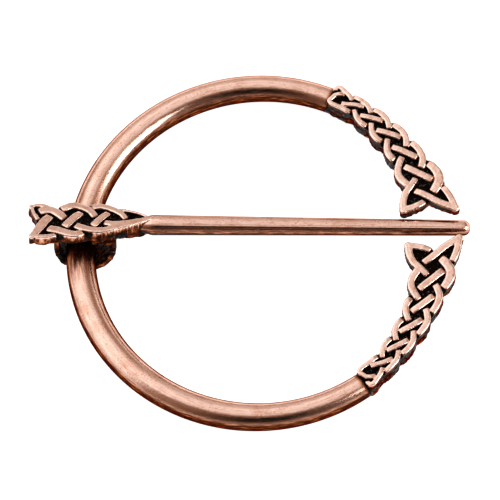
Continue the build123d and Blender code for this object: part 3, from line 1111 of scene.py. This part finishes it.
def add_world():
    """Soft light from a tent round the object: bright above, darker to the front where the camera is."""
    world = bpy.data.worlds.new("studio")
    bpy.context.scene.world = world
    nodes = Nodes(world)
    way = nodes.coordinates("Generated")
    z = nodes.add("ShaderNodeSeparateXYZ", {0: way}).outputs["Z"]

    def patch(direction, widest, core):
        """0 at the widest angle from a direction and 1 inside the core, both in degrees."""
        middle = tuple(Vector(direction).normalized())
        aim = nodes.add("ShaderNodeVectorMath", {0: way, 1: middle}, operation="DOT_PRODUCT").outputs["Value"]
        return nodes.remap(aim, math.cos(math.radians(widest)), math.cos(math.radians(core)))

    def band(start, full, fall, end):
        """Rises from start to full height over the horizon and falls again up to the end."""
        return nodes.times(nodes.remap(z, start, full), nodes.remap(z, fall, end, 1.0, 0.0))

    light = TENT_LIGHT
    for direction, widest, core, strength in TENT_PATCHES:
        light = nodes.plus(nodes.times(patch(direction, widest, core), strength), light)
    # A low strip on the right, less light in front, a dark patch high in front, a dark horizon, and a low
    # strip in front.
    strip = nodes.times(band(0.08, 0.16, 0.26, 0.36), patch((1.0, 0.3, 0.2), 50, 35))
    light = nodes.plus(light, nodes.times(strip, 0.7))
    light = nodes.times(light, nodes.remap(patch((0.0, -0.9, 0.4), 62, 50), 0.0, 1.0, 1.0, 0.3))
    light = nodes.times(light, nodes.remap(patch((0.0, -0.67, 0.74), 20, 16), 0.0, 1.0, 1.0, 0.02))
    light = nodes.times(light, nodes.remap(nodes.maths("ABSOLUTE", z), 0.03, 0.08, 0.08, 1.0))
    low = nodes.times(band(0.03, 0.07, 0.17, 0.27), patch((0.0, -1.0, 0.1), 60, 40))
    light = nodes.plus(light, nodes.times(low, 0.5))
    tint = nodes.blend(nodes.remap(light, 0.1, 0.85), TENT_DIM, TENT_BRIGHT)
    nodes.end("ShaderNodeBackground", {"Color": tint, "Strength": light}, "ShaderNodeOutputWorld")


def add_lamp(name, at, size, power):
    """A square soft box that faces the object."""
    data = bpy.data.lights.new(name, "AREA")
    data.shape = "SQUARE"
    data.size = size * MILLIMETRE
    data.energy = power
    lamp = add_object(name, data)
    lamp.location = Vector(at) * MILLIMETRE
    lamp.rotation_euler = lamp.location.to_track_quat("Z", "Y").to_euler()


def pale_floor(white):
    """A matt white that glows a little, with very faint clouds."""
    material = bpy.data.materials.new("pale_floor")
    nodes = Nodes(material)
    clouds = nodes.noise(nodes.coordinates("Object"), 40, 2)
    darker = tuple(c * 0.985 for c in white[:3]) + (1.0,)
    nodes.end("ShaderNodeBsdfPrincipled", {
        "Base Color": nodes.blend(clouds, white, darker), "Roughness": 0.9,
        "Emission Color": white, "Emission Strength": 0.9})
    return material


class SetStage(bpy.types.Operator):
    """Sets the pale floor, the soft studio light and the camera"""
    bl_idname = "cloak_pin.stage"
    bl_label = "Stage"

    def execute(self, context):
        deselect()
        bpy.ops.mesh.primitive_plane_add(size=3.0, location=(0, 0, 0))
        floor = new_piece("floor")
        floor.data.materials.append(pale_floor(context.scene.cloak_pin_finish.floor))
        add_world()
        for lamp in LAMPS:
            add_lamp(*lamp)
        add_camera()
        context.scene.view_settings.view_transform = "Standard"
        context.scene.view_settings.look = "Medium High Contrast"
        return {"FINISHED"}


operators = (ModelRod, ModelTerminals, ModelHead, ModelShank, SetStage)
groups = {"cloak_pin_ring": RingSizes, "cloak_pin_terminal": TerminalSizes, "cloak_pin_pin": PinSizes,
          "cloak_pin_finish": Finish}


class CloakPinPanel(bpy.types.Panel):
    bl_idname = "VIEW3D_PT_cloak_pin"
    bl_label = "Cloak Pin"
    bl_space_type = "VIEW_3D"
    bl_region_type = "UI"
    bl_category = "Cloak Pin"

    def draw(self, context):
        for operator in operators:
            self.layout.operator(operator.bl_idname)
        for group in groups:
            settings = getattr(context.scene, group)
            box = self.layout.box()
            for name in settings.__annotations__:
                box.prop(settings, name)


classes = (*groups.values(), *operators, CloakPinPanel)


def register():
    for cls in classes:
        bpy.utils.register_class(cls)
    for name, group in groups.items():
        setattr(bpy.types.Scene, name, bpy.props.PointerProperty(type=group))


def unregister():
    for name in groups:
        delattr(bpy.types.Scene, name)
    for cls in reversed(classes):
        bpy.utils.unregister_class(cls)


def main():
    register()
    bpy.ops.cloak_pin.stage()
    bpy.ops.cloak_pin.rod()
    bpy.ops.cloak_pin.terminals()
    bpy.ops.cloak_pin.head()
    bpy.ops.cloak_pin.shank()


if __name__ == "__main__":
    main()
